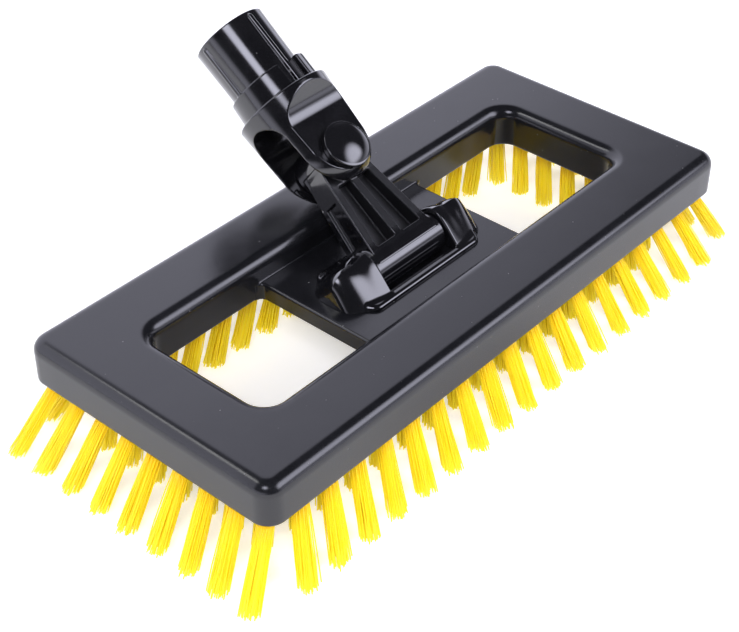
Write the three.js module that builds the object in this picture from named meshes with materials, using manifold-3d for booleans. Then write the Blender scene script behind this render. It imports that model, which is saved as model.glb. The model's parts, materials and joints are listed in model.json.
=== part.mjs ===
// Floor scrub brush head with a two-way swivel, in millimetres, +Z up.
// The origin is the centre of the block's underside: X runs along the block, -Y is its front,
// and the bristles hang below Z = 0. The swivel lies back on the rear bar, as it does at rest.
import * as THREE from 'three';
import { mergeGeometries, mergeVertices } from 'three/addons/utils/BufferGeometryUtils.js';
import Module from 'manifold-3d';

const wasm = await Module();
wasm.setup();

// Brush block: a frame of four bars with a thin plate across the middle
const blockLength = 270;
const blockWidth = 120;
const blockThickness = 17.5;
const barWidth = 30;
const plateLength = 92;
const plateThickness = 7.2;
const blockCorner = 7.5;
const blockEdgeRound = 5;
const windowCorner = 8;
const plateCorner = 3;
const plateEdgeRound = 1.2;

// Bristles: two rings of tufts, each shown by a few thick strands set in a strip of the underside
const bristleTrim = 30;
const outerRowInset = 8.5;
const rowSpacing = 13.5;
const tuftsAlong = 19;
const tuftsAcross = 9;
const cornerTufts = 2;
const endOverhang = 19;
const sideOverhang = 14.5;
const alongFan = 0.1;
const acrossFan = 0.16;
const innerFan = 0.04;
const strandWidth = 1.7;
const strandRootSpread = 2.4;
const strandTipSpread = 5.6;
const stripThickness = 4;
const stripInset = 3.5;
const strandAnchor = 1;

// Hinge bracket on the plate, with a pebble-shaped ear on each side of the barrel
const bracketLength = 79;
const earHeight = 14.4;
const earFace = 12.1;
const earFaceSlope = 50;
const earEndSlope = 83;
const earRoundness = 7;
const earSaddle = 1.2;
const earSaddleAt = 27.5;
const earSaddleWidth = 4;
const padLength = 65;
const padDepth = 32.6;
const padHeight = 2;
const padCorner = 5;
const padEdgeRound = 1.9;
const hingePinDiameter = 6;
const hingePinLength = 60;

// Bracket screws, driven from below through the plate
const screwDiameter = 3.4;
const screwHeadDiameter = 7.6;
const screwHeadRim = 0.6;
const screwHeadCone = 2.1;
const screwReach = 5.5;
const screwTip = 1.2;
const screwSpanX = 54;
const screwSpanY = 15.2;

// Swivel arm: a barrel on the hinge pin and a round boss on the pivot pin, joined by a ribbed web
const armLength = 44;
const barrelDiameter = 16.4;
const barrelLength = 38.4;
const armBaseWidth = 34;
const bossDiameter = 21.4;
const tongueThickness = 18.6;
const armNeckThickness = 13;
const armWall = 3.7;
const armRib = 4;
const armWeb = 3;
const shelfHeight = 5.9;
const sidePanelDepth = 1.4;
const sidePanelWidth = 7;
const sidePanelMargin = 4.5;

// Fork and handle socket, one moulding
const forkEndRadius = 19.1;
const forkEndCentre = 4.6;
const forkTopRadius = 20.5;
const forkHeight = 30.3;
const forkTopRound = 1;
const cheekThickness = 3.9;
const slotCrownGap = 3.7;
const crescentBase = 20.1;
const crescentRim = 2.5;
const collarFootRadius = 17.4;
const collarRadius = 16.7;
const collarHeight = 10.1;
const tubeFootRadius = 14.9;
const tubeRadius = 15.5;
const tubeLength = 34.3;
const boreDiameter = 25.2;
const boreDepth = 33.6;
const rimChamfer = 0.5;
const beadRadius = 1.2;
const beadProud = 0.9;
const beadTopGap = 1.3;
const beadTurn = 4;
const lugRadius = 18;
const lugSweep = 42;
const lugGroove = 1.2;
const lugGrooveFloor = 0.4;
const openStart = -12;
const openSweep = 32;

// Pivot pin with a push-on domed cap at each end
const pivotPinDiameter = 6.4;
const capDiameter = 19.6;
const capWall = 2.6;
const rearCapWall = 1.7;
const capDome = 2.2;
const capEngagement = 2.2;

// Clearances and facets
const fitGap = 0.3;
const hingeGap = 0.4;
const troughGap = 0.5;
const restGap = 0.4;
const roundSegments = 48;
const pinSegments = 20;
const filletSegments = 6;
const cutMargin = 60;
const weldTolerance = 1e-4;
const restSamples = 40;
const restHalvings = 50;

// Sizes that follow from the ones above
const openingLength = blockLength - 2 * barWidth;
const openingWidth = blockWidth - 2 * barWidth;
const hingeAbovePlate = hingePinDiameter / 2 + fitGap;
const hingeHeight = plateThickness + hingeAbovePlate;
const earInner = barrelLength / 2 + hingeGap;
const slotHalf = tongueThickness / 2 + fitGap;
const flatHalf = slotHalf + cheekThickness;
const flatLow = forkEndCentre - Math.sqrt(forkEndRadius ** 2 - flatHalf ** 2);
const bossRadius = bossDiameter / 2;
const barrelRadius = barrelDiameter / 2;
const pinRadius = pivotPinDiameter / 2;
const capRadius = capDiameter / 2;
const domeRadius = (capRadius ** 2 + capDome ** 2) / (2 * capDome);
const leanBack = restingLean();
const sillInner = clearOfArm(padHeight);

const blockPlastic = new THREE.MeshStandardMaterial({ color: 0x1b1c1f, roughness: 0.5, metalness: 0 });
const glossPlastic = new THREE.MeshStandardMaterial({ color: 0x0d0d0f, roughness: 0.16, metalness: 0 });
const bristleNylon = new THREE.MeshStandardMaterial({ color: 0xf6d414, roughness: 0.45, metalness: 0 });
const plainSteel = new THREE.MeshStandardMaterial({ color: 0xb6b9bd, roughness: 0.3, metalness: 1 });

// Lean from upright, in radians, at which the back of the fork or its cap comes to rest, less a small
// gap, on the rounded inner edge of the rear bar. It is found by halving the range of lean.
function restingLean() {
  const faces = [
    [flatLow, flatHalf, crescentBase, flatHalf],
    [crescentBase, flatHalf, forkHeight, forkTopRadius],
  ];
  const domeCentre = flatHalf + fitGap + rearCapWall + capDome - domeRadius;
  const dome = evenly(restSamples, capRadius).map((along) => [
    armLength + along, domeCentre + Math.sqrt(domeRadius ** 2 - along ** 2)]);
  const cheek = faces.flatMap(([fromZ, fromY, toZ, toY]) => evenly(restSamples, 1).map((place) => [
    armLength + THREE.MathUtils.lerp(fromZ, toZ, (place + 1) / 2),
    THREE.MathUtils.lerp(fromY, toY, (place + 1) / 2),
  ]));
  const back = [...cheek, ...dome];
  const edgeY = openingWidth / 2 + blockEdgeRound;
  const edgeZ = blockThickness - blockEdgeRound - hingeHeight;
  const isClear = (lean) => back.every(([along, behind]) => {
    const y = along * Math.sin(lean) + behind * Math.cos(lean);
    const z = along * Math.cos(lean) - behind * Math.sin(lean);
    return Math.hypot(Math.max(edgeY - y, 0), Math.max(z - edgeZ, 0)) > blockEdgeRound + restGap;
  });
  let clear = 0;
  let blocked = Math.PI / 2;
  for (let i = 0; i < restHalvings; i += 1) {
    const middle = (clear + blocked) / 2;
    if (isClear(middle)) clear = middle;
    else blocked = middle;
  }
  return clear;
}

// Distance from the hinge plane that an edge keeps at a height over the plate, so that the leaning arm clears it.
function clearOfArm(height) {
  const clearHeight = height - hingeAbovePlate + fitGap;
  const along = (clearHeight + barrelRadius * Math.sin(leanBack)) / Math.cos(leanBack);
  return along * Math.sin(leanBack) + barrelRadius * Math.cos(leanBack);
}

// A closed three.js geometry as a solid for joining and cutting.
function solid(geometry) {
  const bare = geometry.clone();
  bare.deleteAttribute('normal');
  bare.deleteAttribute('uv');
  const welded = mergeVertices(bare, weldTolerance);
  const corners = welded.index.array;
  const triangles = [];
  for (let i = 0; i < corners.length; i += 3) {
    const [a, b, c] = corners.slice(i, i + 3);
    if (a !== b && b !== c && c !== a) triangles.push(a, b, c);
  }
  return new wasm.Manifold(new wasm.Mesh({
    numProp: 3,
    vertProperties: new Float32Array(welded.attributes.position.array),
    triVerts: new Uint32Array(triangles),
  }));
}

function namedMesh(name, body, material) {
  const mesh = body.getMesh();
  const geometry = new THREE.BufferGeometry();
  geometry.setAttribute('position', new THREE.BufferAttribute(mesh.vertProperties, 3));
  geometry.setIndex(new THREE.BufferAttribute(mesh.triVerts, 1));
  geometry.computeVertexNormals();
  const piece = new THREE.Mesh(geometry, material);
  piece.name = name;
  return piece;
}

// A box between two corners.
function span(x0, x1, y0, y1, z0, z1) {
  const box = new THREE.BoxGeometry(x1 - x0, y1 - y0, z1 - z0);
  return solid(box.translate((x0 + x1) / 2, (y0 + y1) / 2, (z0 + z1) / 2));
}

// A rectangle about [centreX, 0] with rounded corners.
function roundRect(length, width, radius, centreX = 0) {
  const x = length / 2 - radius;
  const y = width / 2 - radius;
  const quarter = Math.PI / 2;
  const corners = [[x, -y], [x, y], [-x, y], [-x, -y]];
  return polygon(corners.flatMap(([cornerX, cornerY], i) => (
    arc(centreX + cornerX, cornerY, radius, (i - 1) * quarter, i * quarter, filletSegments))));
}

// A flat outline raised from Z = 0, with its top edges rounded, holes included.
function roundedSlab(shape, height, edgeRound) {
  const raised = new THREE.ExtrudeGeometry(shape, {
    depth: height - edgeRound,
    bevelThickness: edgeRound,
    bevelSize: edgeRound,
    bevelOffset: -edgeRound,
    bevelSegments: filletSegments,
    curveSegments: filletSegments,
  });
  const below = span(-blockLength, blockLength, -blockLength, blockLength, -cutMargin, 0);
  return solid(raised).subtract(below);
}

// An outline in the Y-Z plane carried along X, and one in the X-Z plane carried along Y, both centred.
function alongX(shape, length, segments = filletSegments * 2) {
  const raised = new THREE.ExtrudeGeometry(shape, { depth: length, bevelEnabled: false, curveSegments: segments });
  const turn = new THREE.Matrix4().makeBasis(
    new THREE.Vector3(0, 1, 0), new THREE.Vector3(0, 0, 1), new THREE.Vector3(1, 0, 0));
  return solid(raised.translate(0, 0, -length / 2).applyMatrix4(turn));
}

function alongY(shape, length, segments = filletSegments * 2) {
  const raised = new THREE.ExtrudeGeometry(shape, { depth: length, bevelEnabled: false, curveSegments: segments });
  return solid(raised.translate(0, 0, -length / 2).rotateX(Math.PI / 2));
}

function polygon(points) {
  return new THREE.Shape(points.map(([x, y]) => new THREE.Vector2(x, y)));
}

function rodX(radius, length, segments = pinSegments) {
  return solid(new THREE.CylinderGeometry(radius, radius, length, segments).rotateZ(Math.PI / 2));
}

function rodY(radius, length, segments = pinSegments) {
  return solid(new THREE.CylinderGeometry(radius, radius, length, segments));
}

// A profile of [radius, height] points turned about the Z axis.
function turned(profile, segments = roundSegments) {
  const points = profile.map(([radius, height]) => new THREE.Vector2(radius, height));
  return solid(new THREE.LatheGeometry(points, segments).rotateX(Math.PI / 2));
}

// Points of an arc in a plane, from one angle to another in radians.
function arc(centreX, centreY, radius, from, to, steps) {
  return Array.from({ length: steps + 1 }, (_, i) => {
    const angle = from + (to - from) * i / steps;
    return [centreX + radius * Math.cos(angle), centreY + radius * Math.sin(angle)];
  });
}

// Part of a ring about Z, with angles in degrees counted from the front towards +X.
function ringSector(inner, outer, start, sweep, z0, z1) {
  const from = THREE.MathUtils.degToRad(start) - Math.PI / 2;
  const to = from + THREE.MathUtils.degToRad(sweep);
  const shape = new THREE.Shape();
  shape.absarc(0, 0, outer, from, to, false);
  shape.absarc(0, 0, inner, to, from, true);
  const raised = new THREE.ExtrudeGeometry(shape, { depth: z1 - z0, bevelEnabled: false, curveSegments: filletSegments });
  return solid(raised.translate(0, 0, z0));
}

const fourCorners = [[-1, -1], [1, -1], [-1, 1], [1, 1]];
const screwPlaces = fourCorners.map(([sideX, sideY]) => [sideX * screwSpanX / 2, sideY * screwSpanY / 2]);

// A countersunk screw standing on its head; with a gap it is the hole that the screw passes through.
function screwBody(gap = 0) {
  const shank = screwDiameter / 2 + gap;
  const head = screwHeadDiameter / 2 + gap;
  const end = plateThickness + screwReach + gap;
  return turned([
    [0, -gap], [head, -gap], [head, screwHeadRim], [shank, screwHeadRim + screwHeadCone],
    [shank, end - screwTip], [0, end],
  ], pinSegments);
}

const stripOuterX = blockLength / 2 - stripInset;
const stripOuterY = blockWidth / 2 - stripInset;
const stripInnerX = openingLength / 2 + stripInset;
const stripInnerY = openingWidth / 2 + stripInset;

// The plate between the windows, flared by their small corners where it runs into the long bars.
function plateOutline() {
  const flareX = plateLength / 2 + plateCorner;
  const flareY = openingWidth / 2 - plateCorner;
  const root = openingWidth / 2 + 2 * plateEdgeRound;
  const half = Math.PI / 2;
  const right = [
    [flareX, -root],
    ...arc(flareX, -flareY, plateCorner, -half, -Math.PI, filletSegments),
    ...arc(flareX, flareY, plateCorner, Math.PI, half, filletSegments),
    [flareX, root],
  ];
  const left = right.map(([x, y]) => [-x, -y]);
  return polygon([...right, ...left]);
}

function brushBlock() {
  const frameShape = roundRect(blockLength, blockWidth, blockCorner);
  frameShape.holes.push(roundRect(openingLength, openingWidth, windowCorner));
  const frame = roundedSlab(frameShape, blockThickness, blockEdgeRound);

  const plate = roundedSlab(plateOutline(), plateThickness, plateEdgeRound);

  // The trough takes the underside of the turning barrel; the plate beside it carries the hinge pin's ends.
  const troughX = barrelLength / 2 + hingeGap;
  const troughY = Math.max(barrelRadius + troughGap, clearOfArm(0));
  const troughFloor = hingeHeight - barrelRadius - troughGap;
  const trough = span(-troughX, troughX, -troughY, troughY, troughFloor, blockThickness);

  const pocketTop = stripThickness + fitGap;
  const pocket = span(
    -stripOuterX - fitGap, stripOuterX + fitGap, -stripOuterY - fitGap, stripOuterY + fitGap, -cutMargin, pocketTop,
  ).subtract(span(
    -stripInnerX + fitGap, stripInnerX - fitGap, -stripInnerY + fitGap, stripInnerY - fitGap,
    -cutMargin, cutMargin));

  let block = frame.add(plate).subtract(trough).subtract(pocket);
  for (const [x, y] of screwPlaces) block = block.subtract(screwBody(fitGap).translate([x, y, 0]));
  return block;
}

function evenly(count, reach) {
  return Array.from({ length: count }, (_, i) => reach * (2 * i / (count - 1) - 1));
}

// Roots of one ring of tufts, with how far each leans out between its root and its tip.
function tuftRing(inset, along, across, leanOut) {
  const reachX = blockLength / 2 - inset;
  const reachY = blockWidth / 2 - inset;
  const rows = evenly(along, reachX).flatMap((x) => [[x, -reachY], [x, reachY]]);
  const columns = evenly(across, reachY).slice(1, -1).flatMap((y) => [[-reachX, y], [reachX, y]]);
  return [...rows, ...columns].map(([x, y]) => {
    const atEnd = Math.abs(x) > reachX - rowSpacing / 2;
    return { x, y, lean: leanOut(x, y, atEnd) };
  });
}

const tufts = [
  ...tuftRing(outerRowInset, tuftsAlong, tuftsAcross, (x, y, atEnd) => (atEnd
    ? [Math.sign(x) * endOverhang, y * acrossFan]
    : [x * alongFan, Math.sign(y) * sideOverhang])),
  ...tuftRing(outerRowInset + rowSpacing, tuftsAlong - cornerTufts, tuftsAcross - cornerTufts,
    (x, y) => [x * innerFan, y * innerFan]),
];

// One square strand between level ends, from inside the strip down to the trimmed tip.
function strand(root, tip) {
  const axis = new THREE.Vector3().subVectors(root, tip);
  const slant = new THREE.Matrix4().makeBasis(
    new THREE.Vector3(1, 0, 0), new THREE.Vector3(0, 1, 0), axis).setPosition(root);
  return new THREE.BoxGeometry(strandWidth, strandWidth, 1).translate(0, 0, -0.5).applyMatrix4(slant);
}

function bristles(strip, isMember) {
  const strands = tufts.filter(isMember).flatMap(({ x, y, lean }) => fourCorners.map(([sideX, sideY]) => {
    const fromRoot = strandRootSpread / 2;
    const fromTip = strandTipSpread / 2;
    const mouth = new THREE.Vector3(x + sideX * fromRoot, y + sideY * fromRoot, 0);
    const tip = new THREE.Vector3(
      x + lean[0] + sideX * fromTip, y + lean[1] + sideY * fromTip, -bristleTrim);
    const root = mouth.clone().lerp(tip, -strandAnchor / bristleTrim);
    return strand(root, tip);
  }));
  return strip.add(solid(mergeGeometries(strands)));
}

function sideOf(tuft) {
  if (Math.abs(tuft.y) > stripInnerY) return tuft.y < 0 ? 'front' : 'rear';
  return tuft.x < 0 ? 'left' : 'right';
}

const bristleStrips = {
  front: span(-stripOuterX, stripOuterX, -stripOuterY, -stripInnerY, 0, stripThickness),
  rear: span(-stripOuterX, stripOuterX, stripInnerY, stripOuterY, 0, stripThickness),
  left: span(-stripOuterX, -stripInnerX, -stripInnerY + fitGap, stripInnerY - fitGap, 0, stripThickness),
  right: span(stripInnerX, stripOuterX, -stripInnerY + fitGap, stripInnerY - fitGap, 0, stripThickness),
};

// The pebble that the two ears are cut from: a ball pushed out to two leaning faces, a top and two steep ends,
// which a high power runs into each other, with a shallow saddle across each ear's ridge.
function pebble() {
  const ball = new THREE.SphereGeometry(1, roundSegments, roundSegments / 2).rotateX(Math.PI / 2);
  const facing = (slope, x, y) => new THREE.Vector3(x * Math.sin(slope), y * Math.sin(slope), Math.cos(slope));
  const faceSlope = THREE.MathUtils.degToRad(earFaceSlope);
  const endSlope = THREE.MathUtils.degToRad(earEndSlope);
  const faces = [
    [facing(faceSlope, 0, -1), earFace], [facing(faceSlope, 0, 1), earFace],
    [facing(endSlope, -1, 0), bracketLength / 2], [facing(endSlope, 1, 0), bracketLength / 2],
    [facing(0, 0, 0), earHeight], [facing(Math.PI, 0, 0), earHeight],
  ];
  const place = ball.attributes.position;
  const point = new THREE.Vector3();
  for (let i = 0; i < place.count; i += 1) {
    point.fromBufferAttribute(place, i).multiply(new THREE.Vector3(bracketLength / 2, earFace, earHeight));
    const shares = faces.map(([normal, distance]) => Math.max(normal.dot(point) / distance, 0) ** earRoundness);
    point.divideScalar(shares.reduce((sum, share) => sum + share, 0) ** (1 / earRoundness));
    const dip = earSaddle / earHeight * Math.exp(-(((Math.abs(point.x) - earSaddleAt) / earSaddleWidth) ** 2));
    place.setXYZ(i, point.x, point.y, point.z * (1 - dip));
  }
  return solid(ball);
}

// Built on the plate: Z = 0 here is the plate's top.
function hingeBracket() {
  const pad = roundedSlab(roundRect(padLength, padDepth, padCorner), padHeight, padEdgeRound);
  const below = span(-bracketLength, bracketLength, -padDepth, padDepth, -cutMargin, 0);
  const gapBetweenEars = span(-earInner, earInner, -padDepth, padDepth, padHeight, cutMargin);
  const gapBetweenSills = span(-earInner, earInner, -sillInner, sillInner, -cutMargin, cutMargin);

  // Each pin seat is open below, so that the bracket drops over the pin and the plate closes it.
  const seatRadius = hingePinDiameter / 2 + fitGap;
  const seatLength = hingePinLength + 2 * fitGap;
  const seat = rodX(seatRadius, seatLength).translate([0, 0, hingeAbovePlate]).add(
    span(-seatLength / 2, seatLength / 2, -seatRadius, seatRadius, -cutMargin, hingeAbovePlate));

  let bracket = pebble().add(pad).subtract(below).subtract(gapBetweenEars).subtract(gapBetweenSills).subtract(seat);
  for (const [x, y] of screwPlaces) {
    bracket = bracket.subtract(screwBody(fitGap).translate([x, y, -plateThickness]));
  }
  return bracket;
}

// Built upright on the hinge axis: the pivot axis is an arm's length up Z.
function swivelArm() {
  const halfBase = armBaseWidth / 2;
  const front = polygon([[-halfBase, 0], [halfBase, 0], [bossRadius, armLength], [-bossRadius, armLength]]);
  const neckHeight = armLength - bossRadius;
  const halfNeck = armNeckThickness / 2;
  const side = polygon([
    [-barrelRadius, 0], [barrelRadius, 0], [halfNeck, neckHeight], [halfNeck, armLength],
    [-halfNeck, armLength], [-halfNeck, neckHeight],
  ]);
  const web = alongY(front, barrelDiameter).intersect(alongX(side, armBaseWidth));

  const barrel = rodX(barrelRadius, barrelLength, roundSegments);
  const boss = rodY(bossRadius, tongueThickness, roundSegments).translate([0, 0, armLength]);

  // Two pockets on each face, between the walls, the centre rib and the middle web.
  const halfWidthAt = (z) => halfBase + (bossRadius - halfBase) * z / armLength;
  const pocketLow = halfWidthAt(shelfHeight) - armWall;
  const pocketHigh = halfWidthAt(neckHeight) - armWall;
  const pocketDepth = barrelRadius;
  const pockets = [-1, 1].flatMap((sideX) => [-1, 1].map((sideY) => {
    const outline = polygon([
      [sideX * armRib / 2, shelfHeight], [sideX * pocketLow, shelfHeight],
      [sideX * pocketHigh, neckHeight], [sideX * armRib / 2, neckHeight],
    ]);
    const middle = sideY * (armWeb + pocketDepth) / 2;
    return alongY(outline, pocketDepth).translate([0, middle, 0]);
  }));

  // A shallow panel sunk in each outer side.
  const panelLow = shelfHeight + sidePanelMargin;
  const panelHigh = neckHeight - sidePanelMargin;
  const panels = [-1, 1].map((sideX) => alongY(polygon([
    [sideX * (halfWidthAt(panelLow) - sidePanelDepth), panelLow], [sideX * halfBase * 2, panelLow],
    [sideX * halfBase * 2, panelHigh], [sideX * (halfWidthAt(panelHigh) - sidePanelDepth), panelHigh],
  ]), sidePanelWidth));

  let arm = web.add(barrel).add(boss);
  for (const cut of [...pockets, ...panels]) arm = arm.subtract(cut);
  return arm
    .subtract(rodX(hingePinDiameter / 2 + fitGap, barrelLength * 2))
    .subtract(rodY(pinRadius + fitGap, tongueThickness * 2).translate([0, 0, armLength]));
}

// Built upright on the pivot axis: the fork reaches down round the arm, the handle goes in from above.
function handleSocket() {
  const rim = forkHeight + tubeLength;
  const collarTop = forkHeight + collarHeight;
  const boreRadius = boreDiameter / 2;
  const quarter = Math.PI / 2;
  const tubeAtCollar = THREE.MathUtils.lerp(tubeFootRadius, tubeRadius, collarHeight / tubeLength);
  const body = turned([
    [0, forkEndCentre - forkEndRadius],
    ...arc(0, forkEndCentre, forkEndRadius, -quarter, 0, filletSegments * 2).slice(1),
    ...arc(forkTopRadius - forkTopRound, forkHeight - forkTopRound, forkTopRound, 0, quarter, filletSegments / 2),
    [collarFootRadius, forkHeight], [collarRadius, collarTop], [tubeAtCollar, collarTop],
    [tubeRadius, rim - rimChamfer], [tubeRadius - rimChamfer, rim], [boreRadius, rim],
    [boreRadius, rim - boreDepth], [0, rim - boreDepth],
  ]);

  // Flats on the two cheeks, each running out above in a slanted crescent.
  const crescentTop = forkHeight - crescentRim;
  const outside = forkTopRadius * 2;
  const flats = [-1, 1].map((side) => alongX(polygon([
    [side * flatHalf, -outside], [side * flatHalf, crescentBase], [side * forkTopRadius, crescentTop],
    [side * outside, crescentTop], [side * outside, -outside],
  ]), outside * 2));

  const slotTop = bossRadius + slotCrownGap;
  const slotShape = new THREE.Shape();
  slotShape.moveTo(-slotHalf, -outside);
  slotShape.lineTo(slotHalf, -outside);
  slotShape.absarc(0, slotTop, slotHalf, 0, Math.PI, false);
  const slot = alongX(slotShape, outside * 2);

  const beadHeight = rim - beadTopGap - forkHeight;
  const beadAxis = tubeRadius + beadProud - beadRadius;
  const bead = solid(new THREE.CapsuleGeometry(beadRadius, beadHeight, 3, 10).rotateX(quarter))
    .translate([0, -beadAxis, forkHeight + beadHeight / 2 - beadRadius]);

  // The collar is open about the front and rear beads, and a grooved lug stands beside the front opening.
  const lugStart = openStart + openSweep;
  const lug = ringSector(
    tubeFootRadius - beadRadius, lugRadius, lugStart, lugSweep, forkHeight - forkTopRound, collarTop);
  const grooveAngle = lugStart + lugSweep / 3;
  const groove = span(
    -lugGroove / 2, lugGroove / 2, -outside, -collarRadius - lugGrooveFloor, forkHeight + fitGap, rim,
  ).rotate([0, 0, grooveAngle]);
  const opening = ringSector(tubeAtCollar, lugRadius, openStart, openSweep, forkHeight, collarTop + fitGap);

  let socket = body.subtract(opening).subtract(opening.rotate([0, 0, 180])).add(lug.subtract(groove));
  for (const turn of [0, 90, 180, 270]) socket = socket.add(bead.rotate([0, 0, turn + beadTurn]));
  return socket.subtract(flats[0]).subtract(flats[1]).subtract(slot)
    .subtract(rodY(pinRadius + fitGap, outside * 2));
}

// Built on the Z axis, to be laid along the pivot axis; the caps grip the pin's ends.
function pivotCap(wall) {
  const domeEdge = Math.asin((domeRadius - capDome) / domeRadius);
  const dome = arc(0, wall + capDome - domeRadius, domeRadius, domeEdge, Math.PI / 2, filletSegments).slice(0, -1);
  const grip = pinRadius + fitGap;
  return turned([
    [0, capEngagement], [grip, capEngagement], [grip, 0], [capRadius, 0], ...dome, [0, wall + capDome],
  ], roundSegments / 2);
}

// The pin stops a fit gap short of the floor of each cap's bore.
const pivotPinLength = 2 * (flatHalf + capEngagement);

const brush = new THREE.Group();
brush.add(namedMesh('brush_block', brushBlock(), blockPlastic));
for (const [side, strip] of Object.entries(bristleStrips)) {
  const members = (tuft) => sideOf(tuft) === side;
  brush.add(namedMesh(`bristles_${side}`, bristles(strip, members), bristleNylon));
}

const hinge = new THREE.Group();
hinge.position.z = plateThickness;
brush.add(hinge);
hinge.add(namedMesh('hinge_bracket', hingeBracket(), glossPlastic));
const hingePin = namedMesh('hinge_pin', rodX(hingePinDiameter / 2, hingePinLength), plainSteel);
hingePin.position.z = hingeAbovePlate;
hinge.add(hingePin);
screwPlaces.forEach(([x, y], i) => {
  const screw = namedMesh(`bracket_screw_${i + 1}`, screwBody(), plainSteel);
  screw.position.set(x, y, 0);
  brush.add(screw);
});

// The arm leans back about the hinge, and the socket turns on the arm's end about the pivot.
const armGroup = new THREE.Group();
armGroup.position.z = hingeHeight;
armGroup.rotation.x = -leanBack;
brush.add(armGroup);
armGroup.add(namedMesh('swivel_arm', swivelArm(), glossPlastic));

const socketGroup = new THREE.Group();
socketGroup.position.z = armLength;
armGroup.add(socketGroup);
socketGroup.add(namedMesh('handle_socket', handleSocket(), glossPlastic));
socketGroup.add(namedMesh('pivot_pin', rodY(pinRadius, pivotPinLength), plainSteel));
for (const [name, side, wall] of [['pivot_cap_front', -1, capWall], ['pivot_cap_rear', 1, rearCapWall]]) {
  const cap = namedMesh(name, pivotCap(wall), glossPlastic);
  cap.position.y = side * (flatHalf + fitGap);
  cap.rotation.x = -side * Math.PI / 2;
  socketGroup.add(cap);
}

export default brush;
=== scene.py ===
"""Dresses the floor scrub brush: a satin block, splayed nylon tufts and a gloss two-way swivel.

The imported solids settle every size, place and joint. Each visible piece is worked out here in
millimetres as whole numpy arrays, in the same frame, and put into metres when its mesh is made.
"""

from __future__ import annotations

import json
import logging
import math
from dataclasses import dataclass, replace
from enum import Enum
from typing import Callable, Sequence

import bpy
import numpy as np
from mathutils import Matrix, Vector

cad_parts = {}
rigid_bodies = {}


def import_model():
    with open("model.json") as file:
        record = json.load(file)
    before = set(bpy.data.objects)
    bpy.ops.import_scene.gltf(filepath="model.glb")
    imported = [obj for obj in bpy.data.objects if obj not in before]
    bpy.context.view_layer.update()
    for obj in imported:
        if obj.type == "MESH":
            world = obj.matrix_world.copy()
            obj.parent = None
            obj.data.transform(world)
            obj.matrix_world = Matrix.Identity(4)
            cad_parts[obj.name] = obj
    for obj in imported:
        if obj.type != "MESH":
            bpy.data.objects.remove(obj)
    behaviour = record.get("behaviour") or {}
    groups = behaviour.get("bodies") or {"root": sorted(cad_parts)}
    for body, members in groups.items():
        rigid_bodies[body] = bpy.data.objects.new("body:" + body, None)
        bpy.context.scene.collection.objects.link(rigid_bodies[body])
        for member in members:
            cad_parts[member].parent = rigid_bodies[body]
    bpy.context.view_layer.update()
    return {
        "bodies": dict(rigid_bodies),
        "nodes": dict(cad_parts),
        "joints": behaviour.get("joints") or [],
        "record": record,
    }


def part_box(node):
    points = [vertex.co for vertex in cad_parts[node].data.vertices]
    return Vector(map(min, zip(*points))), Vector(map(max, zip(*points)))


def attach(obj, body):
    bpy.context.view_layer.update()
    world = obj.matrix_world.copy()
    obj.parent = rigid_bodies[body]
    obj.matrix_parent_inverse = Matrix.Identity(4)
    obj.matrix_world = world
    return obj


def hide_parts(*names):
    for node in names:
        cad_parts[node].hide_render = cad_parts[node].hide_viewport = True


LOG = logging.getLogger("scrub_brush")
MM = 0.001
SEED = 41
TINY = 1e-6

# A grid's clear space in millimetres, and how its points slide onto the surface
GRID_MARGIN = 1.0
SLIDES = 3
PROBES_PER_CELL = 8
LEAST_SLOPE = 0.05

# Spans of a noise that are spread to a full range, and half turns between a sunflower's seeds
NOISE_SPAN = (0.3, 0.7)
CLOUD_SPAN = (0.35, 0.65)
SEED_TURN = 3 - math.sqrt(5)

# Places of a Mix node's share and two colours among its inputs, and of its colour among its outputs
MIX_INPUTS = (0, 6, 7)
MIX_OUTPUT = 2

Array = np.ndarray
Field = Callable[[Array, Array, Array], Array]
Socket = bpy.types.NodeSocket
Pair = tuple[float, float]
Triple = tuple[float, float, float]
Colour = Triple


class Body(Enum):
    """The three bodies that the joints move."""

    BLOCK = "block"
    ARM = "arm"
    SOCKET = "socket"


class Slot(Enum):
    """The record's material slots."""

    BLOCK_PLASTIC = "block_plastic"
    SWIVEL_PLASTIC = "swivel_plastic"
    NYLON = "bristle_nylon"
    STEEL = "steel"


class Bar(Enum):
    """The four bars of the block that carry bristles."""

    FRONT = "front"
    REAR = "rear"
    LEFT = "left"
    RIGHT = "right"


# Surfaces


@dataclass
class Surface:
    """Points and faces of one closed surface, in millimetres.

    A quad whose last two corners are alike is a triangle.
    """

    points: Array
    quads: Array
    ends: tuple[list[int], ...] = ()
    normals: Array | None = None

    def faces(self) -> list[list[int]]:
        """Quads, triangles and end faces as lists of corners."""
        pinched = self.quads[:, 2] == self.quads[:, 3]
        return self.quads[~pinched].tolist() + self.quads[pinched, :3].tolist() + list(self.ends)

    def moved(self, axes: Array, origin: Array) -> Surface:
        """The surface carried into another frame.

        Args:
            axes: Unit vectors of the surface's own x, y and z, one to a row.
            origin: Where the surface's own origin goes.

        Returns:
            The same faces on moved points.
        """
        normals = None if self.normals is None else self.normals @ axes
        return Surface(self.points @ axes + origin, self.quads, self.ends, normals)


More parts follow.
